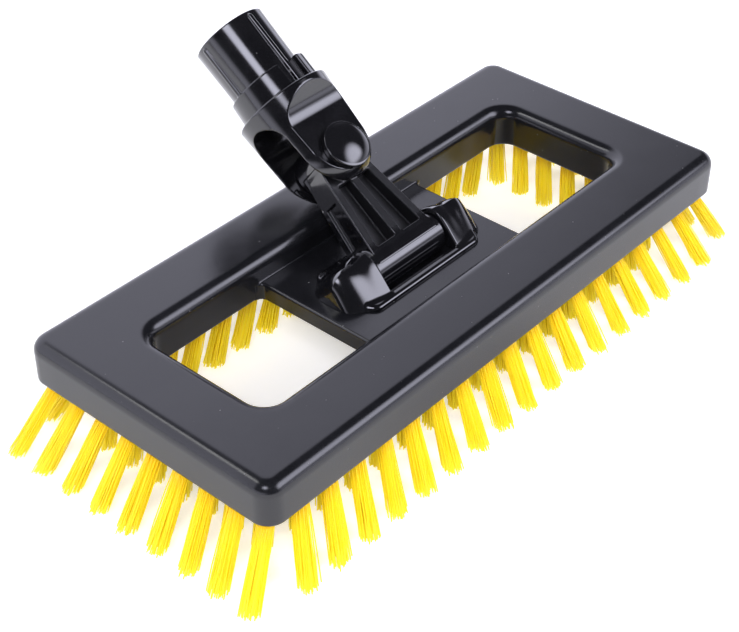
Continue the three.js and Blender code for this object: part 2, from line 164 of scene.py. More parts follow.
def loft(rows: Array, capped: bool = False) -> Surface:
    """Quads over a grid of points whose columns close on themselves.

    Args:
        rows: Points in an array of rows, columns and 3. Each row is a closed loop, counted so that
            the loop turns left about the direction from the first row to the last.
        capped: Whether the first and last loops are filled; otherwise the rows close on themselves.

    Returns:
        A closed surface with its faces outwards.
    """
    count, size = rows.shape[:2]
    index = np.arange(count * size).reshape(count, size)
    after = np.roll(index, -1, axis=0)
    low, high = (index[:-1], after[:-1]) if capped else (index, after)
    quads = np.stack([low, np.roll(low, -1, 1), np.roll(high, -1, 1), high], axis=-1).reshape(-1, 4)
    ends = (index[0, ::-1].tolist(), index[-1].tolist()) if capped else ()
    return Surface(rows.reshape(-1, 3), quads, ends)


def turned(profile: Array, segments: int) -> Surface:
    """A profile of radius and height turned about the z axis, its two ends on the axis.

    A point of the surface is (r cos a, r sin a, h) for each profile point (r, h) and angle a.

    Args:
        profile: Radii and heights in an array of rows of 2, from the low pole round to the high one.
        segments: Number of steps round the axis.

    Returns:
        A closed surface with one point at each pole.
    """
    angle = np.arange(segments) * 2 * np.pi / segments
    ring = profile[1:-1]
    rows = np.stack(
        [np.outer(ring[:, 0], np.cos(angle)), np.outer(ring[:, 0], np.sin(angle)),
         np.repeat(ring[:, 1:], segments, axis=1)], axis=-1)
    body = loft(rows, capped=True)
    size = len(body.points)
    points = np.concatenate([body.points, [[0, 0, profile[0, 1]], [0, 0, profile[-1, 1]]]])
    first = np.arange(segments)
    last = first + (len(ring) - 1) * segments
    pole = np.full(segments, size)
    low = np.stack([np.roll(first, -1), first, pole, pole], axis=-1)
    high = np.stack([last, np.roll(last, -1), pole + 1, pole + 1], axis=-1)
    return Surface(points, np.concatenate([body.quads, low, high]))


def arc(centre: Pair, radius: float, start: float, end: float, steps: int) -> Array:
    """Points of a plane arc, with its angles in degrees."""
    angle = np.radians(np.linspace(start, end, steps + 1))
    return np.stack([centre[0] + radius * np.cos(angle), centre[1] + radius * np.sin(angle)], axis=-1)


def slopes(field: Field, points: Array, step: float) -> Array:
    """Gradient of a field at points, by central differences of the given step."""
    shifts = np.eye(3) * step
    return np.stack([field(*(points + s).T) - field(*(points - s).T) for s in shifts], axis=-1) / (2 * step)


def contour(field: Field, low: Sequence[float], high: Sequence[float], cell: float) -> Surface:
    """Closed surface on which a field of signed distances is zero.

    The slots, flats and pockets of a moulding cut each other, so no pair of parameters covers it. Its
    shape is a distance formula instead. Each cell of a regular grid that the surface crosses has one
    point, the mean of the crossings on its edges, which then slides along the field's slope onto the
    surface. Each grid edge that the surface crosses has the quad of the four cells around it.

    Args:
        field: Signed distance in millimetres, below zero inside, for arrays of x, y and z.
        low: Lowest corner of the grid, outside the piece.
        high: Highest corner of the grid, outside the piece.
        cell: Edge of a grid cell in millimetres.

    Returns:
        A closed surface with its faces outwards and the field's own normals.
    """
    origin = np.asarray(low, float)
    counts = np.ceil((np.asarray(high) - origin) / cell).astype(int) + 1
    axes = [origin[i] + cell * np.arange(counts[i]) for i in range(3)]
    value = np.broadcast_to(field(*np.meshgrid(*axes, indexing="ij", sparse=True)), counts)
    inside = value < 0
    corners = np.stack(np.meshgrid([0, 1], [0, 1], [0, 1], indexing="ij"), axis=-1).reshape(-1, 3)
    cells = counts - 1
    filled = sum(
        inside[i:i + cells[0], j:j + cells[1], k:k + cells[2]].astype(np.int8) for i, j, k in corners)
    crossed = (filled > 0) & (filled < len(corners))
    place = np.argwhere(crossed)
    index = np.full(cells, -1)
    index[crossed] = np.arange(len(place))

    total = np.zeros((len(place), 3))
    hits = np.zeros((len(place), 1))
    for axis in range(3):
        along = np.eye(3, dtype=int)[axis]
        for corner in corners[corners[:, axis] == 0]:
            start = value[tuple((place + corner).T)]
            end = value[tuple((place + corner + along).T)]
            crosses = ((start < 0) != (end < 0))[:, None]
            share = (start / np.where(start == end, 1, start - end))[:, None]
            total += crosses * (corner + share * along)
            hits += crosses
    points = origin + cell * (place + total / hits)
    for _ in range(SLIDES):
        slope = slopes(field, points, cell / PROBES_PER_CELL)
        reach = field(*points.T) / np.maximum((slope ** 2).sum(1), LEAST_SLOPE)
        points = points - np.clip(reach, -cell / 2, cell / 2)[:, None] * slope

    quads = []
    for axis in range(3):
        along, right, up = np.roll(np.eye(3, dtype=int), -axis, axis=0)
        stop = counts - along
        start_in = inside[:stop[0], :stop[1], :stop[2]]
        end_in = inside[along[0]:, along[1]:, along[2]:]
        edge = np.argwhere(start_in != end_in)
        outward = start_in[tuple(edge.T)][:, None]
        ring = [index[tuple((edge - shift).T)] for shift in (right + up, up, 0 * up, right)]
        quad = np.stack(ring, axis=-1)
        quads.append(np.where(outward, quad, quad[:, ::-1]))
    normals = slopes(field, points, cell / PROBES_PER_CELL)
    normals /= np.maximum(np.linalg.norm(normals, axis=1, keepdims=True), TINY)
    return Surface(points, np.concatenate(quads), (), normals)


def meet(first: Array, second: Array, radius: float) -> Array:
    """Distance to what two solids share, with the edge between them rounded to a radius."""
    round_part = np.hypot(np.maximum(first + radius, 0), np.maximum(second + radius, 0))
    return np.minimum(np.maximum(first, second), -radius) + round_part


def join(first: Array, second: Array, radius: float) -> Array:
    """Distance to two solids together, with a fillet of a radius in the corner between them."""
    round_part = np.hypot(np.maximum(radius - first, 0), np.maximum(radius - second, 0))
    return np.maximum(np.minimum(first, second), radius) - round_part


def cut(solid: Array, tool: Array, radius: float) -> Array:
    """Distance to a solid less a tool, with the cut's edge rounded to a radius."""
    return meet(solid, -tool, radius)


def as_distance(field: Field, step: float) -> Field:
    """A field divided by the length of its slope, which is near enough a distance by the surface."""
    def distance(x: Array, y: Array, z: Array) -> Array:
        """Field over slope at arrays of x, y and z."""
        slope = [
            field(x + step, y, z) - field(x - step, y, z),
            field(x, y + step, z) - field(x, y - step, z),
            field(x, y, z + step) - field(x, y, z - step),
        ]
        steep = np.sqrt(sum(part ** 2 for part in slope)) / (2 * step)
        return field(x, y, z) / np.maximum(steep, TINY)
    return distance


# Node trees


class Sheet:
    """A node tree with short calls to add, set and wire its nodes."""

    def __init__(self, tree: bpy.types.NodeTree) -> None:
        """Starts from an empty tree."""
        self.tree = tree
        tree.nodes.clear()

    def add(self, kind: str, inputs: dict | None = None, **settings: object) -> bpy.types.Node:
        """Adds a node.

        Args:
            kind: The node's class name without its ShaderNode prefix.
            inputs: Values or sockets by input name or number.
            settings: Properties of the node itself.

        Returns:
            The new node.
        """
        node = self.tree.nodes.new(f"ShaderNode{kind}")
        for name, setting in settings.items():
            setattr(node, name, setting)
        for name, value in (inputs or {}).items():
            if isinstance(value, Socket):
                self.tree.links.new(value, node.inputs[name])
            else:
                node.inputs[name].default_value = value
        return node

    def math(self, operation: str, first: object, second: object = 0.0) -> Socket:
        """Output of one Math node."""
        return self.add("Math", {0: first, 1: second}, operation=operation).outputs[0]

    def facing(self, direction: Socket, towards: Triple) -> Socket:
        """Cosine of the angle between two unit directions."""
        return self.add("VectorMath", {0: direction, 1: towards}, operation="DOT_PRODUCT").outputs["Value"]

    def spread(self, value: object, low: float, high: float, to_low: float,
               to_high: float) -> Socket:
        """A value taken smoothly from one range to another."""
        ends = {0: value, 1: low, 2: high, 3: to_low, 4: to_high}
        return self.add("MapRange", ends, interpolation_type="SMOOTHSTEP").outputs[0]

    def mixed(self, share: object, first: object, second: object) -> Socket:
        """A colour between two colours."""
        node = self.add("Mix", data_type="RGBA")
        for place, value in zip(MIX_INPUTS, (share, first, second)):
            socket = node.inputs[place]
            if isinstance(value, Socket):
                self.tree.links.new(value, socket)
            else:
                socket.default_value = value if isinstance(value, float) else (*value, 1.0)
        return node.outputs[MIX_OUTPUT]


def new_material(name: str) -> tuple[bpy.types.Material, Sheet]:
    """A material and the sheet of its empty node tree."""
    material = bpy.data.materials.new(name)
    material.use_nodes = True
    return material, Sheet(material.node_tree)


def new_group(name: str, inputs: dict[str, float], outputs: Sequence[str]) -> tuple[Sheet, bpy.types.Node]:
    """Starts a shader group that reads a position and named numbers.

    Args:
        name: The group's name.
        inputs: Default of each number by its name.
        outputs: Names of the numbers that it puts out.

    Returns:
        The group's sheet and its input node.
    """
    tree = bpy.data.node_groups.new(name, "ShaderNodeTree")
    tree.interface.new_socket("Position", in_out="INPUT", socket_type="NodeSocketVector")
    for label, value in inputs.items():
        socket = tree.interface.new_socket(label, in_out="INPUT", socket_type="NodeSocketFloat")
        socket.default_value = value
    for label in outputs:
        tree.interface.new_socket(label, in_out="OUTPUT", socket_type="NodeSocketFloat")
    sheet = Sheet(tree)
    return sheet, tree.nodes.new("NodeGroupInput")


def mould_grain_group() -> bpy.types.NodeTree:
    """Fine grain and slow ripple of a moulded skin, and how its gloss wanders."""
    sheet, given = new_group("mould_grain", {"Grain": 900.0, "Ripple": 45.0}, ("Grain", "Ripple", "Gloss"))
    out = sheet.tree.nodes.new("NodeGroupOutput")
    for label, scale, fineness in (
        ("Grain", "Grain", {"Detail": 3.0}),
        ("Ripple", "Ripple", {"Detail": 1.0}),
        ("Gloss", "Ripple", {"Detail": 6.0, "Roughness": 0.7}),
    ):
        span = {"Vector": given.outputs["Position"], "Scale": given.outputs[scale]}
        noise = sheet.add("TexNoise", {**span, **fineness})
        sheet.tree.links.new(noise.outputs[0], out.inputs[label])
    return sheet.tree


def dust_group() -> bpy.types.NodeTree:
    """Sparse specks: cells of a scatter, few of them filled, each with a spot at its middle."""
    sheet, given = new_group("dust_specks", {"Scale": 400.0, "Share": 0.06, "Spot": 0.2}, ("Mask",))
    cells = sheet.add("TexVoronoi", {"Vector": given.outputs["Position"], "Scale": given.outputs["Scale"]})
    pick = sheet.add("SeparateColor", {0: cells.outputs["Color"]})
    chosen = sheet.math("LESS_THAN", pick.outputs[0], given.outputs["Share"])
    size = sheet.math("MULTIPLY", given.outputs["Spot"], pick.outputs[1])
    spot = sheet.math("LESS_THAN", cells.outputs["Distance"], size)
    mask = sheet.math("MULTIPLY", chosen, spot)
    out = sheet.tree.nodes.new("NodeGroupOutput")
    sheet.tree.links.new(mask, out.inputs["Mask"])
    return sheet.tree


class Effects:
    """The shader groups that more than one finish uses, built once."""

    def __init__(self) -> None:
        """Builds both groups."""
        self.grain = mould_grain_group()
        self.dust = dust_group()


# Finishes


@dataclass(frozen=True)
class MouldedPlastic:
    """Black injection-moulded plastic, from satin to high gloss."""

    name: str
    colour: Colour
    pale: Colour
    roughness: Pair
    coat: float
    grain: float
    grain_depth: float
    ripple: float
    ripple_depth: float
    dust_scale: float
    dust_share: float
    dust: Colour = (0.12, 0.12, 0.12)
    dust_rise: float = 0.3
    ior: float = 1.55
    coat_roughness: float = 0.06
    dulled: bool = False
    dull_rise: float = 0.38

    def material(self, effects: Effects) -> bpy.types.Material:
        """Builds the material.

        Args:
            effects: The shared shader groups.

        Returns:
            A principled plastic whose colour, roughness and normal vary over the moulding. Where it
            is dulled, a piece's own dull attribute roughens it and takes its coat away.
        """
        material, sheet = new_material(self.name)
        position = sheet.add("TexCoord").outputs["Object"]
        texture = {"Position": position, "Grain": self.grain, "Ripple": self.ripple}
        skin = sheet.add("Group", texture, node_tree=effects.grain)
        scatter = {"Position": position, "Scale": self.dust_scale, "Share": self.dust_share}
        dust = sheet.add("Group", scatter, node_tree=effects.dust)
        speck = dust.outputs["Mask"]
        cloud = sheet.spread(skin.outputs["Gloss"], *CLOUD_SPAN, 0.0, 1.0)
        clean = sheet.mixed(cloud, self.colour, self.pale)
        rough = sheet.spread(skin.outputs["Gloss"], *NOISE_SPAN, *self.roughness)
        rough = sheet.math("ADD", rough, sheet.math("MULTIPLY", speck, self.dust_rise))
        polish = self.coat
        if self.dulled:
            dull = sheet.add("Attribute", attribute_name="dull").outputs["Fac"]
            rough = sheet.math("ADD", rough, sheet.math("MULTIPLY", dull, self.dull_rise))
            polish = sheet.math("MULTIPLY", sheet.math("SUBTRACT", 1.0, dull), self.coat)
        waves = sheet.add("Bump", {"Height": skin.outputs["Ripple"], "Distance": self.ripple_depth})
        bump = sheet.add("Bump", {"Height": skin.outputs["Grain"], "Distance": self.grain_depth,
                                  "Normal": waves.outputs[0]})
        shader = sheet.add("BsdfPrincipled", {
            "Base Color": sheet.mixed(speck, clean, self.dust), "Roughness": rough, "IOR": self.ior,
            "Coat Weight": polish, "Coat Roughness": self.coat_roughness, "Normal": bump.outputs[0]})
        sheet.add("OutputMaterial", {"Surface": shader.outputs[0]})
        return material


@dataclass(frozen=True)
class FilamentNylon:
    """Bright yellow brush filament: each one a little different, deeper in colour towards its root as
    painted shade from the block.
    """

    name: str = "yellow_filament"
    # Colours along a strand are painted shade: deeper and more orange at the root, where the block shades
    # the tufts, paler at the tip
    root: Colour = (0.97, 0.68, 0.004)
    body: Colour = (0.97, 0.85, 0.018)
    tip: Colour = (0.97, 0.89, 0.04)
    root_shade_end: float = 0.5
    tip_start: float = 0.75
    tone_share: float = 0.35
    roughness: Pair = (0.28, 0.46)
    streaks: float = 700.0
    ior: float = 1.53
    through: float = 0.22
    clear: float = 0.88
    shade: Colour = (1.0, 0.95, 0.8)

    def material(self) -> bpy.types.Material:
        """A nylon coloured by the tufts' own tone and reach attributes, the reach giving painted shade
        towards the root; it throws a yellow shade.
        """
        material, sheet = new_material(self.name)
        tone = sheet.add("Attribute", attribute_name="tone").outputs["Fac"]
        reach = sheet.add("Attribute", attribute_name="reach").outputs["Fac"]
        # Painted shade: each strand runs from the deep root colour near the block through the body colour
        # to the paler tip
        shaded_lower = sheet.mixed(sheet.spread(reach, 0.0, self.root_shade_end, 0.0, 1.0), self.root, self.body)
        along = sheet.mixed(sheet.spread(reach, self.tip_start, 1.0, 0.0, 1.0), shaded_lower, self.tip)
        colour = sheet.mixed(sheet.math("MULTIPLY", tone, self.tone_share), along, self.root)
        position = sheet.add("TexCoord").outputs["Object"]
        streak = sheet.add("TexNoise", {"Vector": position, "Scale": self.streaks}).outputs[0]
        rough = sheet.spread(streak, *NOISE_SPAN, *self.roughness)
        shader = sheet.add("BsdfPrincipled", {"Base Color": colour, "Roughness": rough, "IOR": self.ior})
        glow = sheet.add("BsdfTranslucent", {"Color": colour})
        both = sheet.add("MixShader", {0: self.through, 1: shader.outputs[0], 2: glow.outputs[0]})
        passing = sheet.math("MULTIPLY", sheet.add("LightPath").outputs["Is Shadow Ray"], self.clear)
        clear = sheet.add("BsdfTransparent", {"Color": (*self.shade, 1.0)})
        skin = sheet.add("MixShader", {0: passing, 1: both.outputs[0], 2: clear.outputs[0]})
        sheet.add("OutputMaterial", {"Surface": skin.outputs[0]})
        return material


@dataclass(frozen=True)
class BrightSteel:
    """Plain bright steel with faint drawing marks."""

    name: str = "bright_steel"
    colour: Colour = (0.58, 0.59, 0.60)
    pale: Colour = (0.7, 0.71, 0.72)
    roughness: Pair = (0.22, 0.38)
    drawn: Triple = (0.04, 1.0, 1.0)
    marks: float = 4000.0
    marks_depth: float = 0.00001

    def material(self) -> bpy.types.Material:
        """A principled metal with marks drawn out along x."""
        material, sheet = new_material(self.name)
        position = sheet.add("TexCoord").outputs["Object"]
        drawn = sheet.add("Mapping", {"Vector": position, "Scale": self.drawn}).outputs[0]
        marks = sheet.add("TexNoise", {"Vector": drawn, "Scale": self.marks, "Detail": 4.0}).outputs[0]
        bump = sheet.add("Bump", {"Height": marks, "Distance": self.marks_depth})
        shader = sheet.add("BsdfPrincipled", {
            "Base Color": sheet.mixed(marks, self.colour, self.pale), "Metallic": 1.0,
            "Roughness": sheet.spread(marks, *NOISE_SPAN, *self.roughness), "Normal": bump.outputs[0]})
        sheet.add("OutputMaterial", {"Surface": shader.outputs[0]})
        return material


SATIN_BLACK = MouldedPlastic(
    name="satin_black", colour=(0.006, 0.0062, 0.0075), pale=(0.009, 0.0092, 0.011),
    roughness=(0.17, 0.24), coat=0.0, grain=1500.0, grain_depth=0.000006,
    ripple=40.0, ripple_depth=0.00006, dust_scale=620.0, dust_share=0.03)
GLOSS_BLACK = MouldedPlastic(
    name="gloss_black", colour=(0.003, 0.003, 0.0038), pale=(0.005, 0.005, 0.006),
    roughness=(0.10, 0.17), coat=0.6, grain=700.0, grain_depth=0.000004,
    ripple=55.0, ripple_depth=0.00006, dust_scale=320.0, dust_share=0.03)
RIBBED_BLACK = replace(GLOSS_BLACK, name="ribbed_black", dulled=True)


# Pieces


@dataclass
class Workshop:
    """What every sub-assembly needs: the frame and the finished materials."""

    frame: dict
    materials: dict[Slot, bpy.types.Material]
    ribbed: bpy.types.Material

    def piece(self, name: str, surface: Surface, body: Body, slot: Slot, replaces: Sequence[str] = (),
              smooth_angle: float = 40.0) -> bpy.types.Object:
        """Makes a mesh of a surface and hangs it on its body.

        Args:
            name: The piece's name.
            surface: Its points and faces in millimetres.
            body: The body that it rides on.
            slot: The record's slot that its finish stands for.
            replaces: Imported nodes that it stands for.
            smooth_angle: Largest angle in degrees between faces that shade as one.

        Returns:
            The new object.
        """
        mesh = bpy.data.meshes.new(name)
        mesh.from_pydata(surface.points * MM, [], surface.faces())
        mesh.update()
        mesh.polygons.foreach_set("use_smooth", np.ones(len(mesh.polygons), bool))
        if surface.normals is None:
            mesh.set_sharp_from_angle(angle=math.radians(smooth_angle))
        else:
            mesh.normals_split_custom_set_from_vertices(surface.normals)
        mesh.materials.append(self.materials[slot])
        piece = bpy.data.objects.new(name, mesh)
        bpy.context.scene.collection.objects.link(piece)
        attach(piece, body.value)
        for node in replaces:
            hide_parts(node)
        LOG.info("%s: %d points on %s", name, len(surface.points), body.value)
        return piece

    def dress_node(self, node: str, slot: Slot) -> None:
        """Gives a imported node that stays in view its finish."""
        mesh = self.frame["nodes"][node].data
        mesh.materials.clear()
        mesh.materials.append(self.materials[slot])
        LOG.info("%s: packed node in %s", node, slot.value)


def node_box(node: str) -> tuple[Array, Array]:
    """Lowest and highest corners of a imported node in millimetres."""
    low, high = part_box(node)
    return np.array(low) / MM, np.array(high) / MM


def mark(piece: bpy.types.Object, label: str, values: Array) -> None:
    """Gives each point of a piece a number that its finish reads by name."""
    attribute = piece.data.attributes.new(label, "FLOAT", "POINT")
    attribute.data.foreach_set("value", values.astype(np.float32))


@dataclass
class SwivelFrame:
    """The leaning frame of the arm and socket: x along the hinge, y to the rear, z up the arm."""

    hinge: Array
    pivot: Array
    axes: Array

    @classmethod
    def from_joints(cls, joints: Sequence[dict]) -> SwivelFrame:
        """Reads the hinge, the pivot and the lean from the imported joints.

        Args:
            joints: The record's joints.

        Returns:
            The frame in millimetres, with its axes one to a row.
        """
        by_name = {joint["name"]: joint for joint in joints}
        hinge = np.array(by_name["tilt_hinge"]["pos_m"]) / MM
        pivot = np.array(by_name["swing_pivot"]["pos_m"]) / MM
        up = (pivot - hinge) / np.linalg.norm(pivot - hinge)
        side = np.array([1.0, 0.0, 0.0])
        return cls(hinge, pivot, np.stack([side, np.cross(up, side), up]))

    @property
    def arm_length(self) -> float:
        """Distance from the hinge axis to the pivot axis."""
        return float(np.linalg.norm(self.pivot - self.hinge))


@dataclass
class BrushBlock:
    """The moulded block: a ring of four bars and a thin plate across its middle."""

    bar_width: float = 30.0
    corner: float = 7.5
    edge_round: float = 5.0
    foot_round: float = 0.8
    window_corner: float = 8.0
    plate_length: float = 92.0
    plate_thickness: float = 7.2
    plate_corner: float = 3.0
    plate_round: float = 1.2
    crease: float = 0.7
    root: float = 1.6
    trough: Pair = (19.6, 9.87)
    trough_floor: float = 1.8
    screw_place: Pair = (27.0, 7.6)
    screw_hole: Pair = (4.1, 2.0)
    screw_cone: Pair = (0.6, 2.7)
    foot_steps: int = 3
    edge_steps: int = 16
    wall_rows: int = 4
    flat_rows: int = 6
    row_gaps: Pair = (0.6, 0.4)
    corner_steps: int = 10
    long_steps: int = 30
    short_steps: int = 12
    plate_margin: Triple = (1.0, 3.0, 2.0)
    cell: float = 0.55

    def __post_init__(self) -> None:
        """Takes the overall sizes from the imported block."""
        low, high = node_box("brush_block")
        self.half_length = float(high[0])
        self.half_width = float(high[1])
        self.thickness = float(high[2] - low[2])

    def bar_section(self) -> Array:
        """Closed section of a bar as insets from the outer wall and heights, from the outer foot up.

        It is an arc at the foot, a straight wall, a wide arc at the top, and the same mirrored.
        """
        edge, foot, wide, top = self.edge_round, self.foot_round, self.bar_width, self.thickness
        low_gap, high_gap = self.row_gaps
        wall = np.linspace(foot + low_gap, top - edge - high_gap, self.wall_rows)
        rise = np.concatenate([
            arc((foot, foot), foot, 270, 180, self.foot_steps),
            np.stack([np.zeros_like(wall), wall], axis=-1),
            arc((edge, top - edge), edge, 180, 90, self.edge_steps),
        ])
        fall = rise[::-1] * [-1, 1] + [wide, 0]
        across = np.linspace(edge + low_gap, wide - edge - low_gap, self.flat_rows)
        lid = np.stack([across, np.full_like(across, top)], axis=-1)
        under = np.stack([across[::-1], np.zeros_like(across)], axis=-1)
        return np.concatenate([rise, lid, fall, under])

    def ring(self) -> Surface:
        """The four bars: the section carried round a rectangle with rounded corners.

        A loop at inset d has half sides less d. Its corner radius is the outer one less d over the
        outer edge, the window's plus what is left over the inner edge, and a straight run between.
        """
        section = self.bar_section()
        inset = section[:, :1]
        inner = self.bar_width - self.edge_round
        radius = np.interp(inset, [0, self.edge_round, inner, self.bar_width], [
            self.corner, self.corner - self.edge_round,
            self.window_corner + self.edge_round, self.window_corner])
        signs = np.array([[1, 1], [-1, 1], [-1, -1], [1, -1]])
        blend, angle = [], []
        for i, steps in enumerate((self.long_steps, self.short_steps) * 2):
            blend.append(np.repeat(signs[i:i + 1], self.corner_steps, axis=0))
            angle.append(np.linspace(i, i + 1, self.corner_steps, endpoint=False))
            run = np.linspace(0, 1, steps, endpoint=False)[:, None]
            blend.append(signs[i] + run * (signs[(i + 1) % 4] - signs[i]))
            angle.append(np.full(steps, i + 1.0))
        blend = np.concatenate(blend)
        turn = np.concatenate(angle) * np.pi / 2
        x = blend[:, 0] * (self.half_length - inset - radius) + radius * np.cos(turn)
        y = blend[:, 1] * (self.half_width - inset - radius) + radius * np.sin(turn)
        z = np.broadcast_to(section[:, 1:], x.shape)
        return loft(np.stack([x, y, z], axis=-1))

    def plate(self, x: Array, y: Array, z: Array) -> Array:
        """Distance to the plate, with the barrel's trough and the screws' countersunk holes.

        Its plan is the strip between the windows, joined to the long bars by small corners. It runs
        a little way into the bars, a hair above their underside.
        """
        wall = self.half_width - self.bar_width
        beyond = np.abs(y) - wall
        plan = join(np.abs(x) - self.plate_length / 2, -beyond, self.plate_corner)
        body = meet(plan, z - self.plate_thickness, self.plate_round)
        body = join(body, -beyond, self.crease)
        lift = np.clip(beyond - self.foot_round, 0, self.foot_round)
        body = np.maximum(np.maximum(body, beyond - self.root), lift - z)
        body = np.maximum(body, z - self.plate_thickness - self.crease)
        body = np.maximum(body, np.abs(x) - self.plate_length / 2 - self.plate_corner)
        trough = np.maximum(np.abs(x) - self.trough[0], np.abs(y) - self.trough[1])
        body = cut(body, np.maximum(trough, self.trough_floor - z), self.crease)
        away = np.hypot(np.abs(x) - self.screw_place[0], np.abs(y) - self.screw_place[1])
        return cut(body, away - np.interp(z, self.screw_cone, self.screw_hole), self.crease / 4)

    def build(self, shop: Workshop) -> None:
        """Makes the ring and the plate in the satin finish."""
        shop.piece("block_ring", self.ring(), Body.BLOCK, Slot.BLOCK_PLASTIC, ["brush_block"])
        wall = self.half_width - self.bar_width
        along, across, above = self.plate_margin
        reach = np.array([self.plate_length / 2 + self.plate_corner + along, wall + across])
        top = self.plate_thickness + above
        plate = contour(self.plate, (*-reach, -GRID_MARGIN), (*reach, top), self.cell)
        shop.piece("block_plate", plate, Body.BLOCK, Slot.BLOCK_PLASTIC, ["brush_block"])


@dataclass
class Bristles:
    """Two rings of tufts: the outer ones splay outwards, the inner ones lean out less and to one side.

    An overhang is how far the tips of the end bars and of the long bars stand out. A fan is the share
    of a tuft's place along a long bar and along an end bar by which its tip runs on.
    """

    trim: float = 30.0
    outer_inset: float = 8.5
    row_spacing: float = 13.5
    along: int = 19
    across: int = 9
    corner_tufts: int = 2
    outer_overhang: Pair = (19.0, 14.5)
    outer_fan: Pair = (0.1, 0.16)
    inner_overhang: Pair = (5.3, 5.3)
    inner_fan: Pair = (0.04, 0.04)
    inner_slant: Pair = (-3.1, -1.5)
    filaments: int = 90
    thickness: float = 0.52
    root_radius: float = 2.8
    tip_radius: float = 3.6
    stray: float = 0.5
    ragged: float = 2.0
    sides: int = 5
    sunk: float = 1.5
    bends: Triple = (0.4, 0.75, 1.0)
    bow_shares: tuple[float, float, float, float] = (0.0, 1.0, 0.8, 0.0)
    smooth_angle: float = 80.0

    def __post_init__(self) -> None:
        """Takes the block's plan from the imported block."""
        self.half_plan = node_box("brush_block")[1][:2]

    def ring(self, inset: float, along: int, across: int) -> Array:
        """Roots of one ring of tufts: two long rows and what is left of the two short ones."""
        reach = self.half_plan - inset
        x = np.linspace(-reach[0], reach[0], along)
        y = np.linspace(-reach[1], reach[1], across)[1:-1]
        rows = [np.stack([x, np.full(along, side * reach[1])], axis=-1) for side in (-1, 1)]
        columns = [np.stack([np.full(across - 2, side * reach[0]), y], axis=-1) for side in (-1, 1)]
        return np.concatenate(rows + columns)

    def tufts(self) -> tuple[Array, Array]:
        """Roots and leans of all tufts.

        Returns:
            The roots' x and y, and how far each tip stands out from its root.
        """
        outer = self.ring(self.outer_inset, self.along, self.across)
        inner = self.ring(self.outer_inset + self.row_spacing, self.along - self.corner_tufts,
                          self.across - self.corner_tufts)
        outer_lean = self.lean_out(outer, self.outer_overhang, self.outer_fan)
        inner_lean = self.lean_out(inner, self.inner_overhang, self.inner_fan) + self.inner_slant
        return np.concatenate([outer, inner]), np.concatenate([outer_lean, inner_lean])

    def lean_out(self, roots: Array, overhang: Pair, fan: Pair) -> Array:
        """How far each tip of one ring stands out from its root.

        A tuft leans square out from its own bar, and along the bar by a share of its place on it.

        Args:
            roots: The ring's x and y at the underside.
            overhang: The ring's overhang.
            fan: The ring's fan.

        Returns:
            The tips' x and y, measured from the roots.
        """
        at_end = np.abs(roots[:, :1]) > np.abs(roots[:, 0]).max() - self.row_spacing / 2
        end_lean = np.sign(roots) * [overhang[0], 0] + roots * [0, fan[1]]
        side_lean = np.sign(roots) * [0, overhang[1]] + roots * [fan[0], 0]
        return np.where(at_end, end_lean, side_lean)

    def bar_of(self, roots: Array) -> Array:
        """Which bar each tuft stands in, as the bars' places in their list."""
        inner_y = self.half_plan[1] - self.outer_inset - self.row_spacing - self.root_radius
        on_long = np.abs(roots[:, 1]) > inner_y
        long_bar = np.where(roots[:, 1] < 0, 0, 1)
        short_bar = np.where(roots[:, 0] < 0, 2, 3)
        return np.where(on_long, long_bar, short_bar)

    def strands(self, roots: Array, leans: Array, rng: np.random.Generator) -> tuple[Surface, Array, Array]:
        """Every filament of some tufts: a few-sided section carried along a slightly bowed line.

        The roots fill a small disc as the seeds of a sunflower do, the tips a wider one in the same
        order, and a strand's middle bows by a share of its stray.

        Args:
            roots: The tufts' x and y at the underside.
            leans: How far each tuft's tip stands out from its root.
            rng: Source of the stray.

        Returns:
            The surface, and each point's tone and reach along its strand.
        """
        count = self.filaments
        seed = np.arange(count) + 0.5
        spin = seed * np.pi * SEED_TURN
        disc = np.sqrt(seed / count)[:, None] * np.stack([np.cos(spin), np.sin(spin)], axis=-1)
        swirl = rng.uniform(0, 2 * np.pi, len(roots))
        turn = np.stack([np.cos(swirl), -np.sin(swirl), np.sin(swirl), np.cos(swirl)], -1).reshape(-1, 2, 2)
        discs = np.einsum("tij,fj->tfi", turn, disc)
        start = roots[:, None] + discs * self.root_radius
        wander = rng.normal(0, self.stray, start.shape)
        end = roots[:, None] + leans[:, None] + discs * self.tip_radius + wander
        short = np.abs(rng.normal(0, self.ragged / 2, start.shape[:2])).clip(0, self.ragged)
        bow = rng.normal(0, self.stray / 2, start.shape)
        share = np.array([-self.sunk / self.trim, *self.bends])
        level = share * (self.trim - short[..., None])
        plan = start[..., None, :] + (end - start)[..., None, :] * (level / self.trim)[..., None]
        plan = plan + bow[..., None, :] * np.array(self.bow_shares)[:, None]
        angle = np.arange(self.sides) * 2 * np.pi / self.sides
        twist = rng.uniform(0, 2 * np.pi, start.shape[:2])[..., None] + angle
        girth = self.thickness / 2 * np.stack([np.cos(twist), np.sin(twist)], axis=-1)
        xy = plan[..., None, :] + girth[..., None, :, :]
        slant = rng.uniform(0, self.thickness / 2, start.shape[:2])[..., None, None] * (share == 1)[:, None]
        z = -level[..., None] + slant * (1 + np.cos(angle)) / 2
        points = np.concatenate([xy, z[..., None]], axis=-1).reshape(-1, len(share), self.sides, 3)
        single = loft(points[0, ::-1], capped=True)
        size = len(share) * self.sides
        starts = np.arange(len(points)) * size
        quads = (single.quads + starts[:, None, None]).reshape(-1, 4)
        ends = (np.array(single.ends) + starts[:, None, None]).reshape(-1, self.sides)
        tone = np.repeat(rng.uniform(0, 1, len(points)), size)
        reach = np.tile(np.repeat(np.clip(share[::-1], 0, 1), self.sides), len(points))
        return Surface(points[:, ::-1].reshape(-1, 3), quads, tuple(ends.tolist())), tone, reach

